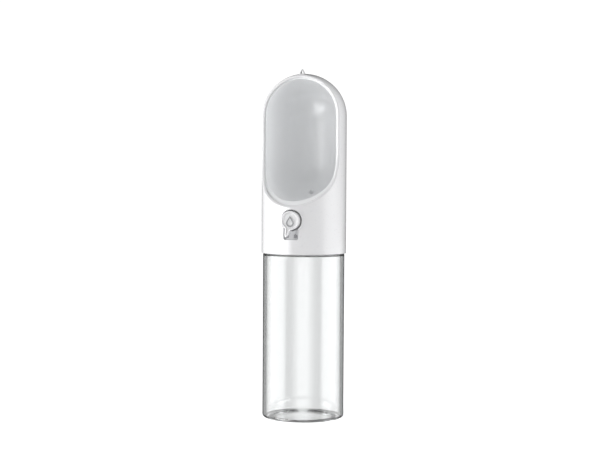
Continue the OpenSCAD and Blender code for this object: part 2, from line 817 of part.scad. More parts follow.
// A drop: a round belly whose ends run straight on to a point
module drop_shape(grow) {
    r = drop_w / 2 + grow;
    tip = drop_h - drop_w / 2 + grow * 1.6;
    a = asin(r / tip);
    steps = 36;
    belly = [for (i = [0 : steps]) let (t = 180 - a + (180 + 2 * a) * i / steps) r * [cos(t), sin(t)]];
    polygon(concat([[0, tip]], belly));
}

module drop_sign() {
    sign_t = 0.15;
    low = -drop_h / 2 + drop_w / 2 - 0.7;
    color("darkgray") front_plate(key_face_y + key_sink, sign_t) translate([0, low]) difference() {
        drop_shape(0);
        drop_shape(-drop_line);
    }
}

module key_clip() {
    open_clip(key_clip_y, hub_r);
}

module lock_rotor() {
    slot_w = lug_w + 2 * run_gap;
    slot_r = lug_r + run_gap;
    flange_r = well_r - 0.8;
    spare = 10;
    turn = lock_angle + 2 * spare;
    color("white") difference() {
        union() {
            on_key_axis(rotor_y) cylinder(r = flange_r, h = flange_t);
            on_key_axis(rotor_y) cylinder(r = rotor_r, h = rotor_end_y - rotor_y);
        }
        on_key_axis(rotor_y - past) cylinder(r = hub_r + run_gap, h = head_r);
        translate([-slot_r, rotor_y - past, key_z - slot_w / 2]) cube([2 * slot_r, head_r, slot_w]);
        clip_groove(rotor_clip_y, rotor_r);
        front_plate(rotor_y + flange_t + hair, flange_t + past) difference() {
            intersection() {
                circle(r = well_r + past);
                rotate(pin_at_angle - lock_angle - spare) polygon([[0, 0], for (i = [0 : 4])
                    2 * well_r * [cos(turn * i / 4), sin(turn * i / 4)]]);
            }
            circle(r = rotor_r + bite);
        }
    }
}

module rotor_clip() {
    open_clip(rotor_clip_y, rotor_r);
}

bottle_body();
neck_gasket();
head_shell();
drinking_dish();
key_bezel();
lock_signs();
threaded_collar();
valve_body();
valve_screws();
gland_plug();
stem_o_ring();
plug_o_rings();
end_plug();
inlet_o_ring();
outlet_sleeve();
filter_cage();
carbon_block();
filter_lid();
filter_screens();
return_spring();
lock_rotor();
rotor_clip();
water_key();
drop_sign();
key_clip();
valve_stem();
valve_disc();
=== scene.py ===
import math

import bmesh
import bpy
import numpy as np
from mathutils import Matrix, Vector


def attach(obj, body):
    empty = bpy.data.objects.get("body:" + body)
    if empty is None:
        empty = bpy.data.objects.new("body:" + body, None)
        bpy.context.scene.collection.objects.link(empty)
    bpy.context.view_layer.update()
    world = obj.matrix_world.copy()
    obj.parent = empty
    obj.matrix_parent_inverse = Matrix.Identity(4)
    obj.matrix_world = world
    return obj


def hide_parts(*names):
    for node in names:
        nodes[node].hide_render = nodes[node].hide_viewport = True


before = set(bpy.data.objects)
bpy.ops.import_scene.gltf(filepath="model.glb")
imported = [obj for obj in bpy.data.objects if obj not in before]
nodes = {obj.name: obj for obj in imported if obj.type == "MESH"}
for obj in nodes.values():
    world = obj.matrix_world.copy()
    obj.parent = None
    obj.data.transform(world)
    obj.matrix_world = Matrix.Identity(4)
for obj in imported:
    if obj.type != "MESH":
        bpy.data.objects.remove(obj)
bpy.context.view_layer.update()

# Millimetres, as in the part's source: Z up the bottle, the dish opens towards -Y; R marks a radius, Ri an
# inner one
size = {
    "headR": 32.5, "shellRi": 30.5, "dishRo": 30.4, "dishRi": 29.2,
    "headZ": 126.0, "domeZ": 230.9, "dishZ": 194.3,
    "faceY": 9.9, "sweepR": 40.0, "sweepY": -49.9, "sweepZ": 200.5685,
    "keyZ": 151.6,
}


def toLinear(hexColour):  # an sRGB hex colour as linear red, green, blue and alpha
    parts = [int(hexColour[i:i + 2], 16) / 255 for i in (1, 3, 5)]
    return [p / 12.92 if p <= 0.04045 else ((p + 0.055) / 1.055) ** 2.4 for p in parts] + [1.0]


def addNode(tree, kind, settings=None, links=None):  # one node, its settings and what feeds its sockets
    node = tree.nodes.new(kind)
    for key, value in (settings or {}).items():
        if isinstance(key, str) and hasattr(node, key):
            setattr(node, key, value)
        else:
            node.inputs[key].default_value = value
    for key, source in (links or {}).items():
        tree.links.new(source, node.inputs[key])
    return node


def unit(vectors):  # vectors divided by their lengths
    return vectors / np.maximum(np.linalg.norm(vectors, axis=-1, keepdims=True), 1e-12)


def swing(start, end, t):
    # turns one set of unit vectors evenly into another: their mean, weighted by the sines of the angle's
    # two parts
    angle = np.arccos(np.clip((start * end).sum(-1, keepdims=True), -1, 1))
    safe = np.maximum(np.sin(angle), 1e-9)
    return (np.sin((1 - t) * angle) * start + np.sin(t * angle) * end) / safe


def spaced(line, count, closed=False):  # points evenly spaced by length along a line of points
    line = np.vstack([line, line[:1]]) if closed else line
    along = np.concatenate([[0], np.cumsum(np.linalg.norm(np.diff(line, axis=0), axis=1))])
    wanted = np.linspace(0, along[-1], count + 1 if closed else count)
    wanted = wanted[:-1] if closed else wanted
    return np.stack([np.interp(wanted, along, line[:, k]) for k in range(line.shape[1])], axis=1)


def rounded(corners, steps=6, guard=0.12):
    # a polyline whose corners (a, b, radius) become arcs tangent to both sides, with a guard point on the
    # straight beside each arc, which keeps smooth shading off the long flat walls
    line = []
    for i, (a, b, radius) in enumerate(corners):
        here = np.array([a, b], float)
        if radius <= 0 or i in (0, len(corners) - 1):
            line.append(here[None])
            continue
        before = unit(np.array(corners[i - 1][:2], float) - here)
        after = unit(np.array(corners[i + 1][:2], float) - here)
        half = math.acos(np.clip(before @ after, -1, 1)) / 2
        middle = here + unit(before + after) * radius / math.sin(half)
        start = unit(here + before * radius / math.tan(half) - middle)
        end = unit(here + after * radius / math.tan(half) - middle)
        t = np.linspace(0, 1, steps + 1)[:, None]
        arc = middle + radius * swing(start[None], end[None], t)
        line.append(np.vstack([arc[:1] + before * guard, arc, arc[-1:] + after * guard]))
    return np.vstack(line)


def turned(profile, columns, radiusAt=None):  # a profile (radius, height) carried once round Z
    angle = np.linspace(0, 2 * math.pi, columns + 1)
    radius = np.repeat(profile[:, :1], columns + 1, axis=1)
    height = np.repeat(profile[:, 1:], columns + 1, axis=1)
    if radiusAt is not None:
        radius = radiusAt(radius, angle[None], height)
    return np.stack([radius * np.sin(angle), radius * np.cos(angle), height], axis=-1)


def onKeyAxis(grid):  # from round Z to round the key's axis: height becomes depth along Y
    return np.stack([grid[..., 0], grid[..., 2], size["keyZ"] + grid[..., 1]], axis=-1)


# points within this many mm join, and edges past this many degrees stay sharp
meshLook = {"weld": 0.004, "sharp": 40}


def gridQuads(rows, columns, start=0):  # the four corner numbers of each cell of a grid of points
    index = start + np.arange(rows * columns).reshape(rows, columns)
    quads = [index[:-1, :-1], index[:-1, 1:], index[1:, 1:], index[1:, :-1]]
    return np.stack(quads, axis=-1).reshape(-1, 4)


def makePiece(name, grids, body, material, replaced):
    # grids of points, rows by columns by 3, welded along their edges into closed surfaces that face
    # outwards; the piece gets the given material, and the node that it replaces is hidden
    points, faces, start = [], [], 0
    for grid in grids:
        faces.append(gridQuads(*grid.shape[:2], start))
        points.append(grid.reshape(-1, 3))
        start += len(points[-1])
    mesh = bpy.data.meshes.new(name)
    mesh.from_pydata(np.vstack(points) / 1000, [], np.vstack(faces))
    work = bmesh.new()
    work.from_mesh(mesh)
    bmesh.ops.remove_doubles(work, verts=work.verts, dist=meshLook["weld"] / 1000)
    bmesh.ops.recalc_face_normals(work, faces=work.faces)
    loose = sum(1 for edge in work.edges if len(edge.link_faces) != 2)
    work.to_mesh(mesh)
    work.free()
    mesh.shade_smooth()
    mesh.set_sharp_from_angle(angle=math.radians(meshLook["sharp"]))
    mesh.materials.append(material)
    piece = bpy.data.objects.new(name, mesh)
    bpy.context.scene.collection.objects.link(piece)
    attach(piece, body)
    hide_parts(replaced)
    print(name, "has", len(mesh.polygons), "faces and", loose, "open edges")


def ringPatch(outer, inner, steps, lift):
    # fills between two closed lines with the same number of points: straight mixes of the two, lifted to
    # the surface
    t = np.linspace(0, 1, steps + 1)[:, None, None]
    flat = (1 - t) * outer[None] + t * inner[None]
    flat = np.concatenate([flat, flat[:, :1]], axis=1)
    return lift(flat)


def makeMaterial(name, finish):
    # cloud drifts the colour between two, grain varies the gloss and the bump; cloud, grain and bump in
    # millimetres
    material = bpy.data.materials.new(name)
    material.use_nodes = True
    tree = material.node_tree
    tree.nodes.clear()
    place = addNode(tree, "ShaderNodeTexCoord")
    shader = addNode(tree, "ShaderNodeBsdfPrincipled", finish["shader"])
    cloud = addNode(tree, "ShaderNodeTexNoise", {"Scale": 1000 / finish["cloud"], "Detail": 3.0},
                    {"Vector": place.outputs["Object"]})
    first, second = (toLinear(tone) for tone in finish["colours"])
    colour = addNode(tree, "ShaderNodeMix", {"data_type": "RGBA", 6: first, 7: second},
                     {0: cloud.outputs["Fac"]})
    tree.links.new(colour.outputs[2], shader.inputs["Base Color"])
    # painted shade: a clear wall's colour darkens where it is seen edge on, standing in for the dark
    # reflections along its sides, and on level faces such as its floor hardly at all
    if "edge" in finish:
        edge = finish["edge"]
        slant = addNode(tree, "ShaderNodeLayerWeight", {"Blend": 0.5})
        edgeShadeAmount = addNode(tree, "ShaderNodeMapRange", {"From Min": edge["from"], "From Max": edge["to"]},
                         {"Value": slant.outputs["Facing"]})
        parts = addNode(tree, "ShaderNodeSeparateXYZ", None, {0: place.outputs["Normal"]})
        level = addNode(tree, "ShaderNodeMath", {"operation": "ABSOLUTE"}, {0: parts.outputs["Z"]})
        upright = addNode(tree, "ShaderNodeMapRange",
                          {"From Min": edge["slopeUp"], "From Max": edge["levelUp"], "To Min": 1.0,
                           "To Max": edge["onLevel"]},
                          {"Value": level.outputs[0]})
        edgeShadeAmount = addNode(tree, "ShaderNodeMath", {"operation": "MULTIPLY"},
                         {0: edgeShadeAmount.outputs["Result"], 1: upright.outputs["Result"]})
        # painted edge shade: the base colour mixed towards dark grey where the wall is seen edge on
        paintedEdgeShade = addNode(tree, "ShaderNodeMix", {"data_type": "RGBA", 7: toLinear(edge["colour"])},
                       {0: edgeShadeAmount.outputs[0], 6: colour.outputs[2]})
        tree.links.new(paintedEdgeShade.outputs[2], shader.inputs["Base Color"])
    grain = addNode(tree, "ShaderNodeTexNoise", {"Scale": 1000 / finish["grain"], "Detail": 2.0},
                    {"Vector": place.outputs["Object"]})
    gloss = addNode(tree, "ShaderNodeMapRange", {"To Min": finish["rough"][0], "To Max": finish["rough"][1]},
                    {"Value": grain.outputs["Fac"]})
    tree.links.new(gloss.outputs["Result"], shader.inputs["Roughness"])
    bump = addNode(tree, "ShaderNodeBump", {"Strength": 1.0, "Distance": finish["bump"] / 1000},
                   {"Height": grain.outputs["Fac"]})
    tree.links.new(bump.outputs["Normal"], shader.inputs["Normal"])
    output = addNode(tree, "ShaderNodeOutputMaterial", None, {"Surface": shader.outputs["BSDF"]})
    if "absorb" in finish:
        volume = addNode(tree, "ShaderNodeVolumeAbsorption",
                         {"Color": toLinear(finish["absorb"][0]), "Density": finish["absorb"][1]})
        tree.links.new(volume.outputs["Volume"], output.inputs["Volume"])
    return material


finishes = {
    # clear copolyester, blow moulded and polished: a glassy wall, with painted shade that darkens its colour
    # only where it is seen edge on
    "clearCopolyester": {
        "colours": ("#FFFFFF", "#FCFDFD"), "cloud": 40, "grain": 9, "rough": (0.01, 0.035), "bump": 0.004,
        "absorb": ("#A9AEB0", 60.0),
        "edge": {"colour": "#2A2E30", "from": 0.42, "to": 0.85,
                 "slopeUp": 0.955, "levelUp": 0.985, "onLevel": 0.1},
        "shader": {"IOR": 1.54, "Transmission Weight": 1.0}},
    # white ABS, injection moulded and lacquered: a clear gloss over a very fine orange peel
    "glossyAbs": {
        "colours": ("#E6E6E8", "#ECECED"), "cloud": 30, "grain": 1.4, "rough": (0.24, 0.34), "bump": 0.0022,
        "shader": {"IOR": 1.53, "Coat Weight": 1.0, "Coat Roughness": 0.14, "Coat IOR": 1.5}},
    # ABS behind the key, moulded matt; its light grey colour is painted shade for the recessed well and
    # pocket round the key
    "paintedWellShadeAbs": {
        "colours": ("#CBCCCE", "#D2D3D5"), "cloud": 12, "grain": 0.7, "rough": (0.42, 0.55), "bump": 0.003,
        "shader": {"IOR": 1.53}},
    # light grey polypropylene, moulded satin: broad soft highlights
    "satinPolypropylene": {
        "colours": ("#EEEFF0", "#F3F4F5"), "cloud": 28, "grain": 0.9, "rough": (0.25, 0.33), "bump": 0.003,
        "shader": {"IOR": 1.49}},
    # off-white ABS inside the head, left as it leaves the mould
    "innerAbs": {
        "colours": ("#DCDCDA", "#E6E6E3"), "cloud": 14, "grain": 0.6, "rough": (0.42, 0.6), "bump": 0.004,
        "shader": {"IOR": 1.53}},
    # milky silicone rubber: matt, faintly see-through
    "milkySilicone": {
        "colours": ("#DADAD8", "#E4E4E1"), "cloud": 8, "grain": 0.4, "rough": (0.5, 0.68), "bump": 0.004,
        "shader": {"IOR": 1.43, "Subsurface Weight": 0.2, "Subsurface Scale": 0.002}},
    # black nitrile rubber, moulded O-rings with a dull skin
    "nitrileRubber": {
        "colours": ("#2C2C2E", "#3A3A3C"), "cloud": 3, "grain": 0.3, "rough": (0.55, 0.75), "bump": 0.004,
        "shader": {"IOR": 1.52}},
    # drawn stainless wire and blanked clips: bright with fine draw marks
    "drawnSteel": {
        "colours": ("#B4B7BA", "#C8CACD"), "cloud": 2, "grain": 0.25, "rough": (0.22, 0.42), "bump": 0.002,
        "shader": {"Metallic": 1.0}},
    # pressed activated carbon: dead black crumbs about half a millimetre across
    "carbonGrain": {
        "colours": ("#161617", "#2A2A2C"), "cloud": 1.2, "grain": 0.7, "rough": (0.7, 0.95), "bump": 0.12,
        "shader": {"IOR": 1.6}},
    # grey pad-printing ink: a thin matt skin
    "padPrintInk": {
        "colours": ("#929395", "#9C9D9F"), "cloud": 2, "grain": 0.3, "rough": (0.5, 0.65), "bump": 0.003,
        "shader": {"IOR": 1.5}},
    # woven stainless cloth of the filter: small bright and dull spots, as from fine wires crossing
    "wovenSteel": {
        "colours": ("#A2A5A8", "#CBCDD0"), "cloud": 0.6, "grain": 0.35, "rough": (0.3, 0.5), "bump": 0.05,
        "shader": {"Metallic": 1.0}},
}
materials = {name: makeMaterial(name, finish) for name, finish in finishes.items()}
print("made", len(materials), "materials")

dressing = {
    "glossyAbs": ["head_shell", "water_key"],
    # the key's bezel gets the light grey of painted shade for its recessed well
    "paintedWellShadeAbs": ["key_bezel"],
    "clearCopolyester": ["bottle_body"],
    "satinPolypropylene": ["drinking_dish"],
    "innerAbs": ["threaded_collar", "valve_body", "gland_plug", "end_plug", "filter_cage", "filter_lid",
                 "lock_rotor", "valve_stem"],
    "milkySilicone": ["neck_gasket", "outlet_sleeve", "valve_disc"],
    "nitrileRubber": ["stem_o_ring", "plug_o_rings", "inlet_o_ring"],
    "drawnSteel": ["valve_screws", "return_spring", "rotor_clip", "key_clip"],
    "carbonGrain": ["carbon_block"],
    "padPrintInk": ["drop_sign", "lock_signs"],
    "wovenSteel": ["filter_screens"],
}
for name, dressed in dressing.items():
    for node in dressed:
        for place in nodes[node].material_slots:
            place.material = materials[name]
print("dressed", sum(len(dressed) for dressed in dressing.values()), "of", len(nodes), "nodes")


shellLook = {
    "edgeRound": 0.9, "innerRound": 0.35, "footRound": 0.35, "footTop": 0.6, "holeRound": 0.25,
    "rows": 130, "frontHalf": 14, "windowLow": 134.4, "windowHigh": 160.35, "windowRows": 36,
    "wellR": 8.2, "pocketHalf": 5.85, "pocketDrop": 14.4, "pocketCorner": 1.2, "blur": 0.3,
    "grooveR": 0.6, "grooveAt": 30.4, "grooveZ": 129.0,
}


def faceNormals(line):
    # the front face's outward normal: level above the sweep, turning up to 45 degrees along it
    lean = np.arctan2(size["sweepZ"] - line[:, 2], line[:, 1] - size["sweepY"])
    lean = np.clip(lean, 0, math.pi / 4)
    return np.stack([0 * lean, -np.cos(lean), np.sin(lean)], axis=1)


def roundNormals(line):
    # a domed cylinder's outward normal: away from the axis, and above from the dome's centre
    away = line - np.array([0, 0, size["domeZ"]])
    away[:, 2] = np.maximum(away[:, 2], 0)
    return unit(away)


def rimLine(radius, back, count):
    # where a domed cylinder meets the face moved back: a 45 degree line, an arc, a straight and a dome's
    # circle; x is the root of radius squared less y squared, and the points run from the lowest up the
    # right side to the top
    sweep = size["sweepR"] + back
    level = -size["faceY"] + back
    lowY = size["sweepY"] + sweep * math.cos(math.pi / 4)
    lowZ = size["sweepZ"] - sweep * math.sin(math.pi / 4)
    lean = np.linspace(0, math.acos(-lowY / radius), 600)
    y = -radius * np.cos(lean)
    parts = [np.stack([radius * np.sin(lean), y, lowZ + y - lowY], axis=1)]
    turn = np.linspace(-math.pi / 4, 0, 600)
    y = size["sweepY"] + sweep * np.cos(turn)
    parts.append(np.stack([np.sqrt(radius ** 2 - y ** 2), y, size["sweepZ"] + sweep * np.sin(turn)], axis=1))
    rise = np.linspace(0, math.pi / 2, 1200)
    reach = math.sqrt(radius ** 2 - level ** 2)
    height = size["domeZ"] + reach * np.sin(rise)
    parts.append(np.stack([reach * np.cos(rise), 0 * rise + level, height], axis=1))
    line = spaced(np.vstack(parts), count)
    line[[0, -1], 0] = 0
    return line


def arcBetween(centre, radius, start, end, steps):  # rows of a rolling ball's arc from one normal to another
    t = np.linspace(0, 1, steps + 1)[None, :, None]
    return centre[:, None] + radius * swing(start[:, None], end[:, None], t)


def bothSides(grid):  # a grid and its mirror across x = 0
    return [grid, grid * np.array([-1, 1, 1])]


def wrapped(edge, columns):
    # rows round the back from edge to edge, each at its edge point's height and radius
    angle = np.arctan2(edge[:, :1], edge[:, 1:2]) * columns[None]
    across = np.hypot(edge[:, :1], edge[:, 1:2])
    return np.stack([across * np.sin(angle), across * np.cos(angle), edge[:, 2:] + 0 * angle], axis=-1)


def pocketLine(count):
    # the well's circle joined with the pocket's rounded rectangle, its corners eased by a running mean
    # along the line
    r, half, drop, corner = (shellLook[k] for k in ("wellR", "pocketHalf", "pocketDrop", "pocketCorner"))
    meet = math.asin(half / r)
    ring = np.linspace(0, math.pi - meet, 400)
    turn = np.linspace(0, math.pi / 2, 60)
    right = np.vstack([
        np.stack([r * np.sin(ring), r * np.cos(ring)], axis=1),
        np.stack([half - corner + corner * np.cos(turn), -drop + corner - corner * np.sin(turn)], axis=1),
        [[0, -drop]],
    ])
    fine = spaced(np.vstack([right, (right * [-1, 1])[-2:0:-1]]), 2400, closed=True)
    step = np.linalg.norm(fine[1] - fine[0])
    reach = int(4 * shellLook["blur"] / step)
    weights = np.exp(-0.5 * (np.arange(-reach, reach + 1) * step / shellLook["blur"]) ** 2)
    weights /= weights.sum()
    padded = np.vstack([fine[-reach:], fine, fine[:reach]])
    eased = np.stack([np.convolve(padded[:, k], weights, "valid") for k in range(2)], axis=1)
    line = spaced(eased, count, closed=True)
    along = np.roll(line, -1, axis=0) - np.roll(line, 1, axis=0)
    normals = unit(np.stack([-along[:, 1], along[:, 0]], axis=1))
    return line + [0, size["keyZ"]], normals


def onRound(radius):  # lifts (x, z) to the front of a cylinder
    return lambda flat: np.stack(
        [flat[..., 0], -np.sqrt(radius ** 2 - flat[..., 0] ** 2), flat[..., 1]], axis=-1)


def windowed(radius, angles, heights, columns, rows):
    # a cylinder's grid with a window left out in front: the four parts round it, and the window's edge, a
    # closed line
    low, high = rows
    left, right = columns
    grid = np.stack([radius[:, None] * np.sin(angles), -radius[:, None] * np.cos(angles),
                     heights[:, None] + 0 * angles[None]], axis=-1)
    around = [grid[:low + 1], grid[high:], grid[low:high + 1, :left + 1], grid[low:high + 1, right:]]
    middle = (left + right) // 2
    edge = np.vstack([grid[high, middle:right], grid[high:low:-1, right], grid[low, right:left:-1],
                      grid[low:high, left], grid[high, left:middle]])
    return around, edge[:, [0, 2]]


def shellGrids():
    # two domed cylinders, an outer and an inner skin, joined by a rolling ball's arc along the face, by the
    # rounded foot, and by the lip of the opening for the key; the inner one has the groove that holds the
    # collar
    look = shellLook
    ball = rimLine(size["headR"] - look["edgeRound"], look["edgeRound"], look["rows"])
    inBall = rimLine(size["shellRi"] + look["innerRound"], look["innerRound"], look["rows"])
    outerArc = arcBetween(ball, look["edgeRound"], roundNormals(ball), faceNormals(ball), 7)
    innerArc = arcBetween(inBall, look["innerRound"], faceNormals(inBall), -roundNormals(inBall), 4)
    grids = bothSides(np.concatenate([outerArc, innerArc], axis=1))

    near = np.linspace(0, 20, 17)
    half = np.concatenate([near, np.linspace(22, 180, 80)])
    angles = np.radians(np.concatenate([-half[:0:-1], half]))
    shares = np.sort((180 - half) / 180)
    shares = np.concatenate([-shares[:0:-1], shares])
    skins = ((size["headR"], outerArc[:, 0], True), (size["shellRi"], innerArc[:, -1], False))
    for radius, arc, outer in skins:
        grids.append(wrapped(arc, shares))
        top = math.atan2(abs(arc[-1, 1]), arc[-1, 2] - size["domeZ"])
        tilt = np.linspace(top, 0, 14)
        cap = radius * np.stack([np.sin(tilt), np.cos(tilt)], axis=1)
        turn = math.pi * shares
        grids.append(np.stack([cap[:, :1] * np.sin(turn), cap[:, :1] * np.cos(turn),
                               size["domeZ"] + cap[:, 1:] + 0 * turn], axis=-1))
        # the round part below the opening, from the foot up
        low = arc[0, 2]
        if outer:
            heights = np.linspace(size["headZ"] + look["footTop"], look["windowLow"], 9)
        else:
            heights = size["headZ"] + np.concatenate([[look["footTop"]], np.linspace(1.6, 4.6, 25), [6.5]])
            heights = np.append(heights, look["windowLow"])
        start = len(heights) - 1
        heights = np.concatenate([heights, np.linspace(look["windowLow"], look["windowHigh"],
                                                       look["windowRows"] + 1)[1:], [low]])
        radii = np.full(len(heights), radius)
        if not outer:  # the groove that the collar snaps into
            off = np.abs(heights - look["grooveZ"])
            deep = look["grooveAt"] + np.sqrt(np.maximum(look["grooveR"] ** 2 - off ** 2, 0))
            radii = np.where(off < look["grooveR"], np.maximum(deep, radius), radius)
        zero = len(angles) // 2
        around, edge = windowed(radii, angles, heights, (zero - look["frontHalf"], zero + look["frontHalf"]),
                                (start, start + look["windowRows"]))
        grids += around
        line, normals = pocketLine(len(edge))
        if outer:
            t = np.linspace(0, math.pi / 2, 5)[:, None]
            grids.append(ringPatch(edge, line + normals * look["holeRound"], 9, onRound(radius)))
            bend = line[None] + normals[None] * look["holeRound"] * (1 - np.sin(t))[..., None]
            lip = onRound(radius)(bend)
            lip[..., 1] += look["holeRound"] * (1 - np.cos(t))
            grids.append(np.concatenate([lip, lip[:, :1]], axis=1))
            lipEnd = lip[-1]
        else:
            grids.append(ringPatch(edge, line, 6, onRound(radius)))
            wall = np.stack([lipEnd, onRound(radius)(line)])
            grids.append(np.concatenate([wall, wall[:, :1]], axis=1))
    # the foot, from the outside under to the inside
    foot = rounded([(size["headR"], size["headZ"] + look["footTop"], 0),
                    (size["headR"], size["headZ"], look["footRound"]), (size["shellRi"], size["headZ"], 0.2),
                    (size["shellRi"], size["headZ"] + look["footTop"], 0)], 5)
    grids.append(np.stack([foot[:, :1] * np.sin(angles), -foot[:, :1] * np.cos(angles),
                           foot[:, 1:] + 0 * angles], axis=-1))
    return grids


eyeLook = {"holeR": 0.95, "holeZ": 264.2, "footHalf": 2.3, "footZ": 261.6, "crestR": 0.8, "crestZ": 265.9,
           "backY": -2.2, "frontY": -8.2, "crestBack": -4.9, "crestFront": -6.9,
           "columns": 64, "rows": 24, "square": 3.4}


def eyeGrid():
    # a ring round the hole: its outer edge is the lug's outline, and each section is a rounded rectangle in
    # depth
    look = eyeLook
    turn = np.linspace(0, 2 * math.pi, look["columns"] + 1)[:, None]
    side, up = np.sin(turn), np.cos(turn)
    crest = look["crestZ"] - look["holeZ"]
    foot = look["footZ"] - look["holeZ"]
    top = crest * up + np.sqrt(np.maximum(look["crestR"] ** 2 - (crest * side) ** 2, 0))
    slope = (look["footHalf"] - look["crestR"]) / (crest - foot)
    flank = (look["crestR"] * 1.02 + slope * crest) / np.maximum(np.abs(side) + slope * up, 1e-6)
    flank = np.where(np.abs(side) + slope * up > 0.05, flank, 99)
    base = np.where(up < -0.05, foot / np.minimum(up, -0.05), 99)
    onCrest = (np.abs(crest * side) < look["crestR"]) & (up > 0) & (flank > top)
    reach = np.where(onCrest, top, np.minimum(flank, base))
    around = np.linspace(0, 2 * math.pi, look["rows"] + 1)[None]
    power = 2 / look["square"]
    across = np.sign(np.cos(around)) * np.abs(np.cos(around)) ** power
    deep = np.sign(np.sin(around)) * np.abs(np.sin(around)) ** power
    radius = look["holeR"] + (reach - look["holeR"]) * (1 - across) / 2
    z = look["holeZ"] + radius * up
    t = np.clip((z - look["footZ"]) / (look["crestZ"] - look["footZ"]), 0, 1)
    front = look["frontY"] + (look["crestFront"] - look["frontY"]) * t
    back = look["backY"] + (look["crestBack"] - look["backY"]) * t
    return np.stack([radius * side + 0 * z, (front + back) / 2 + (back - front) / 2 * deep, z], axis=-1)


makePiece("headShell", shellGrids() + [eyeGrid()], "head", materials["glossyAbs"], "head_shell")


dishLook = {
    "inset": 0.9, "edgeRound": 0.5, "outerRound": 0.15, "blend": 14.0, "outerBlend": 400.0, "slack": 1.5,
    "arcColumns": 30, "sideColumns": 16, "backRows": 26, "frontRows": 22,
    "outletY": 20.0, "outletR": 1.9, "spigotR": 3.2, "spigotZ": 164.1,
}


def stadium():
    # the dish's outline from the front as (side, up, spine): round ends on two centres, straight sides
    look = dishLook
    top = np.linspace(0, math.pi / 2, look["arcColumns"] + 1)
    sides = np.linspace(1, 0, look["sideColumns"] + 1)[1:-1]
    right = np.vstack([
        np.stack([np.sin(top), np.cos(top), 0 * top + 1], axis=1),
        np.stack([0 * sides + 1, 0 * sides, sides], axis=1),
        np.stack([np.cos(top), -np.sin(top), 0 * top], axis=1),
    ])
    return np.vstack([right, (right * [-1, 1, 1])[-2:0:-1], right[:1]])


def faceDepth(z, inset):
    # y of the front face at a height: level, then the sweep's circle, then 45 degrees outwards
    drop = np.clip(size["sweepZ"] - z, 0, size["sweepR"] * math.sin(math.pi / 4))
    arc = size["sweepY"] + np.sqrt(size["sweepR"] ** 2 - drop ** 2)
    below = np.maximum(size["sweepZ"] - size["sweepR"] * math.sin(math.pi / 4) - z, 0)
    return arc - below + inset


def dishPoints(radius, outline, y, p, slack):
    # behind y = 0 a sphere about each end's centre; in front, x is the root of radius squared less a power
    # mean of y and the drop below the lower centre, so the trough runs forwards and blends into the upright
    # wall; slack lets the outer skin fall that much lower at the front, where the shell's opening needs it
    side, up, spine = (outline[:, k] for k in range(3))
    depth = np.clip(np.abs(y), 0, radius)
    shrink = np.sqrt(radius ** 2 - depth ** 2)
    trough = radius * (1 - (depth / radius) ** p) ** (1 / p)
    low = (up < 0) & (y < 0)
    extra = slack * np.clip(depth / 12, 0, 1)
    drop = np.where(low, -up * (trough + extra), -up * shrink)
    mean = radius * ((depth / radius) ** p + (np.abs(drop + up * extra) / radius) ** p) ** (1 / p)
    x = np.where(low, np.sign(side) * np.sqrt(np.maximum(radius ** 2 - mean ** 2, 0)), side * shrink)
    z = size["dishZ"] + spine * (size["domeZ"] - size["dishZ"]) - drop
    return np.stack([x, y + 0 * x, z], axis=-1)


def dishColumns(radius, rows, back, p, slack):
    # from the deepest line forwards to the equator, then on to the front face, whose depth is found by
    # halving steps
    outline = stadium()
    lean = np.linspace(math.pi / 2, 0, rows + 1)[:, None]
    grid = [dishPoints(radius, outline, radius * np.sin(lean) + 0 * outline[None, :, 0], p, slack)]
    end = np.full(len(outline), -size["faceY"])
    for _ in range(60):
        heights = dishPoints(radius, outline, end, p, slack)[:, 2]
        end = 0.5 * end + 0.5 * (faceDepth(heights, dishLook["inset"]) + back)
    t = np.linspace(0, 1, dishLook["frontRows"] + 1)[1:, None]
    grid.append(dishPoints(radius, outline, t * end[None], p, slack))
    return np.vstack(grid)


def dishGrids():
    # an inner and an outer skin, each with a window for the outlet, joined by a rounded edge along the face
    look = dishLook
    inside = dishColumns(size["dishRi"], look["backRows"], look["edgeRound"], look["blend"], 0.0)
    outside = dishColumns(size["dishRo"], look["backRows"], look["outerRound"], look["outerBlend"],
                          look["slack"])
    edge = []
    for rim, towards, bend in ((inside[-1], outside[-1], look["edgeRound"]),
                               (outside[-1], inside[-1], look["outerRound"])):
        normal = faceNormals(rim)
        across = unit(towards - rim)
        across = unit(across - (across * normal).sum(1, keepdims=True) * normal)
        t = np.linspace(0, math.pi / 2, 5)[:, None, None]
        edge.append(rim[None] + bend * (across * (1 - np.cos(t)) + normal * np.sin(t)))
    band = np.concatenate([edge[0], edge[1][::-1]])
    grids = [band]
    # the outlet: a window in each skin, round the point straight below the spout
    columns = len(stadium())
    middle = (columns - 1) // 2
    ends = []
    skins = ((inside, size["dishRi"], look["outletR"]), (outside, size["dishRo"], look["spigotR"]))
    for grid, radius, hole in skins:
        row = int(np.argmin(np.abs(grid[:look["backRows"] + 1, middle, 1] - look["outletY"])))
        down, up, left, right = row + 4, row - 4, middle - 6, middle + 6
        grids += [grid[:up + 1], grid[down:], grid[up:down + 1, :left + 1], grid[up:down + 1, right:]]
        border = np.vstack([grid[up, left:right], grid[up:down, right], grid[down, right:left:-1],
                            grid[down:up:-1, left]])[:, :2]
        heading = np.arctan2(border[:, 1] - look["outletY"], border[:, 0])
        ring = np.stack([hole * np.cos(heading), look["outletY"] + hole * np.sin(heading)], axis=1)
        skin = ringPatch(border, ring, 6, lambda flat, r=radius: np.concatenate(
            [flat, size["dishZ"] - np.sqrt(r ** 2 - (flat ** 2).sum(-1, keepdims=True))], axis=-1))
        grids.append(skin)
        low = skin[-1] * [1, 1, 0] + [0, 0, look["spigotZ"]]
        grids.append(np.stack([skin[-1], low]))
        ends.append(low)
    grids.append(np.stack(ends))
    return grids


makePiece("drinkingDish", dishGrids(), "head", materials["satinPolypropylene"], "drinking_dish")


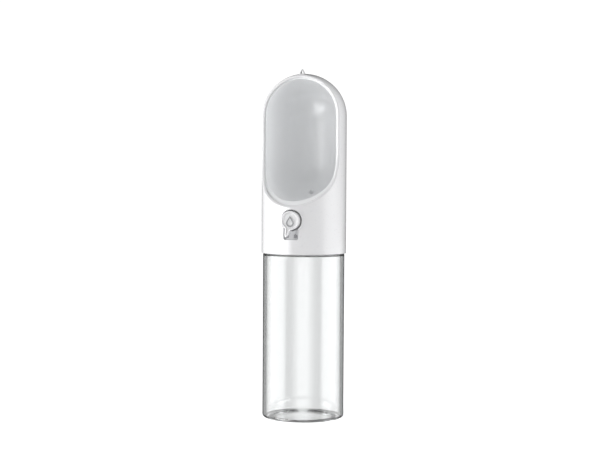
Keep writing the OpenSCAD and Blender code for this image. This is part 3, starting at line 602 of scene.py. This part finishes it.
keyLook = {
    "discR": 7.2, "tailReach": 12.9, "tipR": 1.2, "rootAt": 6.0, "rootR": 2.25, "lean": 15.5, "ease": 0.45,
    "faceY": -35.0, "tailBack": -33.4, "backY": -31.2, "edgeRound": 0.7, "backRound": 0.25,
    "border": 1.3, "sink": 0.8, "soft": 0.22, "columns": 220, "rows": 40,
    "hubR": 3.2, "hubEnd": -20.4, "grooveY": -21.8, "grooveT": 0.8, "grooveR": 2.7,
    "lugHalf": 4.3, "lugW": 1.6, "lugEnd": -24.35,
}


def keyLine(count):
    # the disc's circle joined with the tail's two flanks, tangent to its tip and root circles, eased along
    # the line
    look = keyLook
    tip = look["tailReach"] - look["tipR"]
    slope = math.asin((look["rootR"] - look["tipR"]) / (tip - look["rootAt"]))
    flank = lambda along: (look["tipR"] + (tip - along) * math.sin(slope)) / math.cos(slope)
    along = np.linspace(0, tip, 4000)
    inside = np.hypot(flank(along), along) < look["discR"]
    meet = along[inside][-1]
    ring = np.linspace(0, math.pi - math.atan2(flank(meet), meet), 500)
    end = np.linspace(slope, math.pi / 2, 60)
    right = np.vstack([
        np.stack([look["discR"] * np.sin(ring), look["discR"] * np.cos(ring)], axis=1),
        np.stack([look["tipR"] * np.cos(end), -tip - look["tipR"] * np.sin(end)], axis=1),
    ])
    fine = spaced(np.vstack([right, (right * [-1, 1])[-2:0:-1]]), 3000, closed=True)
    step = np.linalg.norm(fine[1] - fine[0])
    reach = int(4 * look["ease"] / step)
    weights = np.exp(-0.5 * (np.arange(-reach, reach + 1) * step / look["ease"]) ** 2)
    padded = np.vstack([fine[-reach:], fine, fine[:reach]])
    eased = np.stack([np.convolve(padded[:, k], weights / weights.sum(), "valid") for k in range(2)], axis=1)
    return spaced(eased, count, closed=True)


def inwards(points, line):  # distance from each point to the nearest stretch of a closed line
    ahead = np.roll(line, -1, axis=0) - line
    gap = points[:, None] - line[None]
    t = np.clip((gap * ahead[None]).sum(-1) / (ahead ** 2).sum(-1)[None], 0, 1)
    return np.linalg.norm(gap - t[..., None] * ahead[None], axis=-1).min(1)


def keyGrids():
    # the front is rings between the outline and its middle line, pushed in by a quarter circle at the edge
    # and by a smooth step inside the border; behind it lie the tail's back, the disc's back, the hub and
    # the lug
    look = keyLook
    line = keyLine(look["columns"])
    along = np.clip((-line[:, 1] - look["rootAt"]) / (look["tailReach"] - look["rootAt"]), 0, 1)
    root = np.stack([0 * along, -along * (look["tailReach"] - look["tipR"] - 0.6)], axis=1)
    share = 1 - np.linspace(1, 0, look["rows"] + 1)[:, None, None] ** 1.7
    flat = root[None] + share * (line - root)[None]
    depth = inwards(flat.reshape(-1, 2), line).reshape(flat.shape[:2])
    depth[-1] = 0
    r = look["edgeRound"]
    edge = r - np.sqrt(np.maximum(r ** 2 - (r - np.minimum(depth, r)) ** 2, 0))
    t = np.clip((depth - look["border"] + look["soft"]) / (2 * look["soft"]), 0, 1)
    dip = look["sink"] * t * t * (3 - 2 * t)
    turn = math.radians(-look["lean"])
    spin = np.array([[math.cos(turn), math.sin(turn)], [-math.sin(turn), math.cos(turn)]])

    def place(flatPoints, y):
        spun = flatPoints @ spin
        return np.stack([spun[..., 0], y + 0 * spun[..., 0], size["keyZ"] + spun[..., 1]], axis=-1)

    front = place(flat, 0)
    front[..., 1] = look["faceY"] + edge + dip
    t = np.linspace(0, math.pi / 2, 4)
    b = look["backRound"]
    tailBack = [place(line - unit(line - root) * b * (1 - math.cos(a)),
                      look["tailBack"] - b + b * math.sin(a)) for a in t]
    disc = unit(line) * look["discR"]
    discBack = [place(disc * (1 - b * (1 - math.cos(a)) / look["discR"]), look["backY"] - b + b * math.sin(a))
                for a in t]
    close = [place(disc * s, look["backY"]) for s in (0.7, 0.4, 0.0)]
    rest = np.stack([front[-1]] + tailBack + [place(disc, look["tailBack"])] + discBack + close)
    button = [np.concatenate([g, g[:, :1]], axis=1) for g in (front, rest)]
    hubR, grooveR, grooveY, start = look["hubR"], look["grooveR"], look["grooveY"], look["backY"] - 1
    grooveEnd = grooveY + look["grooveT"]
    hub = rounded([(0, start, 0), (hubR, start, 0), (hubR, grooveY, 0), (grooveR, grooveY, 0),
                   (grooveR, grooveEnd, 0), (hubR, grooveEnd, 0), (hubR, look["hubEnd"], 0.2),
                   (0, look["hubEnd"], 0)], 4)
    around = np.linspace(0, 2 * math.pi, 65)[None]
    square = np.abs(np.cos(around)) ** 0.16, np.abs(np.sin(around)) ** 0.16
    cut = np.array([0, 1, 1, 0])[:, None]
    deep = np.array([look["backY"] - 0.5, look["backY"] - 0.5, look["lugEnd"], look["lugEnd"]])[:, None]
    lug = np.stack([cut * look["lugHalf"] * np.sign(np.cos(around)) * square[0], deep + 0 * around,
                    size["keyZ"] + cut * look["lugW"] / 2 * np.sign(np.sin(around)) * square[1]], axis=-1)
    return button + [onKeyAxis(turned(hub, 64)), lug]


makePiece("waterKey", keyGrids(), "key", materials["glossyAbs"], "water_key")


bottleLook = {
    "wallR": 31.33, "wallRi": 29.13, "topZ": 125.6, "floor": 1.4, "baseRound": 2.0,
    "pushUpR": 23.0, "pushUpH": 3.2, "pushUpRound": 1.2,
    "shoulderRound": 0.9, "neckR": 26.5, "neckRi": 24.1, "neckTop": 139.6, "ceiling": 124.5,
    "neckRound": 0.4, "rimRound": 0.5, "floorRound": 1.0, "middleZ": 60, "threadTop": 136.6,
    "ridgeZ": 129.5, "ridgeTurns": 1.2, "pitch": 4.0, "ridgeDepth": 1.3, "ridgeFoot": 1.1, "ridgeCrest": 0.5,
    "columns": 180,
}


def threadRise(radius, angle, height):
    # one raised helix: its height line climbs a pitch per turn, its section is a flat crest on sloping
    # flanks, and both ends fade in over a tenth of a turn
    look = bottleLook
    rise = 0 * radius * angle
    for lap in (0, 1):
        turns = angle / (2 * math.pi) + lap
        off = np.abs(height - look["ridgeZ"] - look["pitch"] * turns)
        flank = np.clip((look["ridgeFoot"] - off) / (look["ridgeFoot"] - look["ridgeCrest"]), 0, 1)
        fade = np.clip(np.minimum(turns, look["ridgeTurns"] - turns) / 0.1, 0, 1)
        rise = np.maximum(rise, look["ridgeDepth"] * flank * fade * (turns <= look["ridgeTurns"]))
    outside = np.abs(radius - look["neckR"]) < 0.01
    return radius + rise * outside


def bottleGrids():
    # one profile turned round Z: the pushed-up base (a circle through its rim and crown), foot, wall,
    # shoulder, neck, and back down the inside; the thread is added where the profile runs up the neck
    look = bottleLook
    wallR, wallRi, neckR, neckRi = (look[k] for k in ("wallR", "wallRi", "neckR", "neckRi"))
    topZ, neckTop, ceiling = (look[k] for k in ("topZ", "neckTop", "ceiling"))
    capR = (look["pushUpR"] ** 2 + look["pushUpH"] ** 2) / (2 * look["pushUpH"])
    reach = math.asin(look["pushUpR"] / capR)
    under = np.linspace(0, reach * 0.93, 24)
    capLow = np.stack([capR * np.sin(under), look["pushUpH"] - capR + capR * np.cos(under)], axis=1)
    foot = rounded([(capLow[-1, 0], capLow[-1, 1], 0), (look["pushUpR"], 0, look["pushUpRound"]),
                    (wallR, 0, look["baseRound"]), (wallR, look["middleZ"], 0),
                    (wallR, topZ, look["shoulderRound"]), (neckR, topZ, look["neckRound"]),
                    (neckR, topZ + 2, 0)], 8)
    neck = np.stack([np.full(60, neckR), np.linspace(topZ + 2.1, look["threadTop"], 60)], axis=1)
    inside = capR + look["floor"]
    base = look["pushUpH"] - capR
    over = np.linspace(math.asin((wallRi - 3) / inside), 0, 24)
    capHigh = np.stack([inside * np.sin(over), base + inside * np.cos(over)], axis=1)
    rim = rounded([(neckR, look["threadTop"] + 0.4, 0), (neckR, neckTop, look["rimRound"]),
                   (neckRi, neckTop, look["rimRound"]), (neckRi, ceiling, look["neckRound"]),
                   (wallRi, ceiling, look["neckRound"]), (wallRi, look["middleZ"], 0),
                   (wallRi, capHigh[0, 1], look["floorRound"]), (capHigh[0, 0], capHigh[0, 1], 0)], 8)
    profile = np.vstack([capLow, foot[1:], neck, rim, capHigh[1:]])
    profile[0, 0] = profile[-1, 0] = 0
    return [turned(profile, look["columns"], threadRise)]


makePiece("clearBottle", bottleGrids(), "bottle", materials["clearCopolyester"], "bottle_body")


stageLook = {
    "reach": 6.0, "floor": "#F6F6F6", "white": 1.06,
    # brightness of the sky by heading from the photo's side, in degrees to either side. matt lights the
    # dull surfaces; mirror is what glossy ones reflect, and lowMirror the same in the level band that the
    # upright walls reflect; through is what light inside the clear wall finds, and backdrop the same in a
    # band a little above level, whose dark part draws the crescent on the bottle's base
    "matt": [(0, 0.25), (22, 0.25), (46, 0.86), (66, 0.86), (84, 0.15), (180, 0.25)],
    "mirror": [(0, 0.3), (50, 0.3), (68, 0.9), (84, 0.9), (110, 0.25), (180, 0.05)],
    "lowMirror": [(0, 2.4), (12, 2.4), (34, 0.5), (50, 0.3), (62, 2.6), (118, 2.6), (135, 0.2), (180, 0.1)],
    "through": [(0, 2.4), (12, 2.4), (34, 0.9), (50, 0.6), (62, 2.6), (118, 2.6), (135, 0.85), (180, 0.85)],
    "backdrop": [(0, 0.9), (100, 0.9), (125, 0.03), (178, 0.03), (179, 0.9), (180, 0.9)],
    "even": 0.88,  # what shows straight through the clear wall
    # heights below are sines of the elevation: the backdrop's band, where the overhead light begins and is
    # full, the level band's lower and upper fade, and where the floor's bounce begins
    "stripeAt": 0.2, "stripeHalf": 0.15, "stripeSoft": 0.05,
    "overhead": 0.65, "overheadFrom": 0.57, "overheadTo": 0.9,
    "levelLow": (-0.2, -0.19), "levelHigh": (-0.055, -0.04), "bounceFrom": -0.3, "bounce": 1.6,
    # a soft reflector low on the left that the dish mirrors: heading and rise in degrees, and how far it
    # spreads
    "glow": 12.0, "glowHeading": -59, "glowRise": -18, "glowCore": 8, "glowEdge": 32,
    "floorGlow": 0.65,  # the floor shines a little of itself, like a light table
}


def makeFloor():  # a square grid at height 0, seen by the camera only
    t = np.linspace(-stageLook["reach"], stageLook["reach"], 9)
    x, y = np.meshgrid(t, t)
    mesh = bpy.data.meshes.new("paleFloor")
    mesh.from_pydata(np.stack([x, y, 0 * x], axis=-1).reshape(-1, 3), [], gridQuads(9, 9))
    material = bpy.data.materials.new("paintedFloor")
    material.use_nodes = True
    shader = material.node_tree.nodes["Principled BSDF"]
    shader.inputs["Base Color"].default_value = toLinear(stageLook["floor"])
    shader.inputs["Roughness"].default_value = 0.9
    shader.inputs["Specular IOR Level"].default_value = 0.0
    shader.inputs["Emission Color"].default_value = (1, 1, 1, 1)
    shader.inputs["Emission Strength"].default_value = stageLook["floorGlow"]
    mesh.materials.append(material)
    floor = bpy.data.objects.new("paleFloor", mesh)
    bpy.context.scene.collection.objects.link(floor)
    floor.visible_diffuse = floor.visible_glossy = floor.visible_transmission = False


# focal length in pixels of the 600 by 450 picture, distance and height in mm, turns in radians, azimuth in
# degrees
view = {"f": 1249.9, "distance": 962.27, "height": 172.6, "yaw": -0.0031, "pitch": 0.0261, "roll": 0.0055,
        "azimuth": 17.6}


def makeCamera():
    # stands in front at a distance and height, turned by yaw, pitch and roll, then swung round Z by the
    # azimuth
    yaw, pitch, roll = view["yaw"], view["pitch"], view["roll"]
    ahead = np.array([math.sin(yaw), math.cos(yaw), 0])
    right = np.array([math.cos(yaw), -math.sin(yaw), 0])
    up = np.array([0, 0, 1.0])
    look = ahead * math.cos(pitch) - up * math.sin(pitch)
    tall = up * math.cos(pitch) + ahead * math.sin(pitch)
    axes = [right * math.cos(roll) + tall * math.sin(roll),
            tall * math.cos(roll) - right * math.sin(roll), -look]
    place = np.array([0, -view["distance"], view["height"]]) / 1000
    a = math.radians(view["azimuth"])
    spin = np.array([[math.cos(a), -math.sin(a), 0], [math.sin(a), math.cos(a), 0], [0, 0, 1]])
    matrix = np.eye(4)
    matrix[:3, :3] = spin @ np.array(axes).T
    matrix[:3, 3] = spin @ place
    data = bpy.data.cameras.new("camera")
    data.sensor_width = 36
    data.lens = view["f"] * 36 / 600
    data.clip_start = 0.01
    camera = bpy.data.objects.new("camera", data)
    bpy.context.scene.collection.objects.link(camera)
    camera.matrix_world = Matrix(matrix.tolist())
    bpy.context.scene.camera = camera


# softboxes, each at a heading counted from the camera's side towards the right; metres and watts
softboxes = {
    "leftSoftbox": {"heading": -92, "distance": 0.9, "width": 0.5, "power": 9.0},
    "rightSoftbox": {"heading": 70, "distance": 1.0, "width": 1.0, "power": 5.4},
}
softboxHeight, softboxTall = 0.25, 0.22


def makeLight(name, look):  # on a circle round the object at its heading, turned level towards the axis
    a = math.radians(view["azimuth"] + look["heading"])
    data = bpy.data.lights.new(name, "AREA")
    data.shape = "RECTANGLE"
    data.size, data.size_y = look["width"], softboxTall
    data.energy = look["power"]
    light = bpy.data.objects.new(name, data)
    bpy.context.scene.collection.objects.link(light)
    light.location = (look["distance"] * math.sin(a), -look["distance"] * math.cos(a), softboxHeight)
    towards = Vector((0, 0, softboxHeight)) - light.location
    light.rotation_euler = towards.to_track_quat("-Z", "Y").to_euler()
    light.visible_camera = False
    light.visible_glossy = False  # the reflections are the sky's


def makeSky():
    # a light tent: the camera sees plain white, matt surfaces are lit with more from above, and reflections
    # find bright panels with gaps between them; each band's brightness runs straight between its stops
    look = stageLook
    world = bpy.data.worlds.new("studio")
    bpy.context.scene.world = world
    world.use_nodes = True
    world.cycles.sampling_method = "NONE"
    tree = world.node_tree
    tree.nodes.clear()
    a = math.radians(view["azimuth"])
    place = addNode(tree, "ShaderNodeTexCoord")
    parts = addNode(tree, "ShaderNodeSeparateXYZ", None, {0: place.outputs["Generated"]})
    toCamera, toRight = (math.sin(a), -math.cos(a), 0), (math.cos(a), math.sin(a), 0)
    near = addNode(tree, "ShaderNodeVectorMath", {"operation": "DOT_PRODUCT", 1: toCamera},
                   {0: place.outputs["Generated"]})
    right = addNode(tree, "ShaderNodeVectorMath", {"operation": "DOT_PRODUCT", 1: toRight},
                    {0: place.outputs["Generated"]})
    bearing = addNode(tree, "ShaderNodeMath", {"operation": "ARCTAN2"},
                     {0: right.outputs["Value"], 1: near.outputs["Value"]})
    turn = addNode(tree, "ShaderNodeMath", {"operation": "ABSOLUTE"}, {0: bearing.outputs[0]})
    share = addNode(tree, "ShaderNodeMath", {"operation": "DIVIDE", 1: math.pi}, {0: turn.outputs[0]})
    bands = {}
    for name in ("matt", "mirror", "lowMirror", "through", "backdrop"):
        stops = look[name]
        most = max(value for _, value in stops)
        band = addNode(tree, "ShaderNodeValToRGB", None, {0: share.outputs[0]})
        ramp = band.color_ramp.elements
        while len(ramp) < len(stops):
            ramp.new(0.5)
        for stop, (angle, value) in zip(ramp, stops):
            stop.position = angle / 180
            stop.color = (value / most, value / most, value / most, 1)
        bands[name] = addNode(tree, "ShaderNodeMath", {"operation": "MULTIPLY", 1: most},
                              {0: band.outputs["Color"]}).outputs[0]
    lift = addNode(tree, "ShaderNodeMapRange",
                   {"From Min": look["levelHigh"][0], "From Max": look["levelHigh"][1]},
                   {"Value": parts.outputs["Z"]})
    sink = addNode(tree, "ShaderNodeMapRange",
                   {"From Min": look["levelLow"][0], "From Max": look["levelLow"][1], "To Min": 1.0,
                    "To Max": 0.0}, {"Value": parts.outputs["Z"]})
    level = addNode(tree, "ShaderNodeMath", {"operation": "MAXIMUM"},
                    {0: lift.outputs["Result"], 1: sink.outputs["Result"]})
    heading, rise = a + math.radians(look["glowHeading"]), math.radians(look["glowRise"])
    toGlow = (math.sin(heading) * math.cos(rise), -math.cos(heading) * math.cos(rise), math.sin(rise))
    close = addNode(tree, "ShaderNodeVectorMath", {"operation": "DOT_PRODUCT", 1: toGlow},
                    {0: place.outputs["Generated"]})
    glow = addNode(tree, "ShaderNodeMapRange",
                   {"interpolation_type": "SMOOTHSTEP", "From Min": math.cos(math.radians(look["glowEdge"])),
                    "From Max": math.cos(math.radians(look["glowCore"])), "To Max": look["glow"]},
                   {"Value": close.outputs["Value"]})
    bright = addNode(tree, "ShaderNodeMath", {"operation": "ADD"},
                     {0: bands["mirror"], 1: glow.outputs["Result"]})
    mirror = addNode(tree, "ShaderNodeMix", {"data_type": "FLOAT"},
                     {0: level.outputs[0], 2: bands["lowMirror"], 3: bright.outputs[0]})
    high = addNode(tree, "ShaderNodeMapRange",
                   {"interpolation_type": "SMOOTHSTEP", "From Min": look["overheadFrom"],
                    "From Max": look["overheadTo"]}, {"Value": parts.outputs["Z"]})
    low = addNode(tree, "ShaderNodeMapRange",
                  {"From Min": look["bounceFrom"], "From Max": 0.0, "To Min": look["bounce"], "To Max": 1.0},
                  {"Value": parts.outputs["Z"]})
    lifted = addNode(tree, "ShaderNodeMath", {"operation": "MULTIPLY"},
                     {0: bands["matt"], 1: low.outputs["Result"]})
    matt = addNode(tree, "ShaderNodeMix", {"data_type": "FLOAT", 3: look["overhead"]},
                   {0: high.outputs["Result"], 2: lifted.outputs[0]})
    fromStripe = addNode(tree, "ShaderNodeMath", {"operation": "SUBTRACT", 1: look["stripeAt"]},
                         {0: parts.outputs["Z"]})
    offStripe = addNode(tree, "ShaderNodeMath", {"operation": "ABSOLUTE"}, {0: fromStripe.outputs[0]})
    clear = addNode(tree, "ShaderNodeMapRange",
                    {"From Min": look["stripeHalf"], "From Max": look["stripeHalf"] + look["stripeSoft"]},
                    {"Value": offStripe.outputs[0]})
    through = addNode(tree, "ShaderNodeMix", {"data_type": "FLOAT"},
                      {0: clear.outputs["Result"], 2: bands["backdrop"], 3: bands["through"]})
    # straight through the bottle lies an even backdrop, and only mirrored rays find the panels
    ray = addNode(tree, "ShaderNodeLightPath")
    mirrored = addNode(tree, "ShaderNodeMath", {"operation": "MINIMUM", 1: 1.0},
                       {0: ray.outputs["Glossy Depth"]})
    through = addNode(tree, "ShaderNodeMix", {"data_type": "FLOAT", 2: look["even"]},
                      {0: mirrored.outputs[0], 3: through.outputs[0]})
    strength = bands["through"]  # the transmission mix comes last, as such rays count as glossy ones too
    for kind, source in (("Is Glossy Ray", mirror.outputs[0]), ("Is Diffuse Ray", matt.outputs[0]),
                         ("Is Transmission Ray", through.outputs[0])):
        strength = addNode(tree, "ShaderNodeMix", {"data_type": "FLOAT"},
                           {0: ray.outputs[kind], 2: strength, 3: source}).outputs[0]
    shown = addNode(tree, "ShaderNodeMix", {"data_type": "FLOAT", 3: look["white"]},
                    {0: ray.outputs["Is Camera Ray"], 2: strength})
    back = addNode(tree, "ShaderNodeBackground", {"Color": (1, 1, 1, 1)}, {"Strength": shown.outputs[0]})
    addNode(tree, "ShaderNodeOutputWorld", None, {"Surface": back.outputs["Background"]})


makeFloor()
makeCamera()
makeSky()
for name, look in softboxes.items():
    makeLight(name, look)
scene = bpy.context.scene
scene.view_settings.view_transform = "Standard"
scene.view_settings.look = "None"
print("stage, light and camera are set")
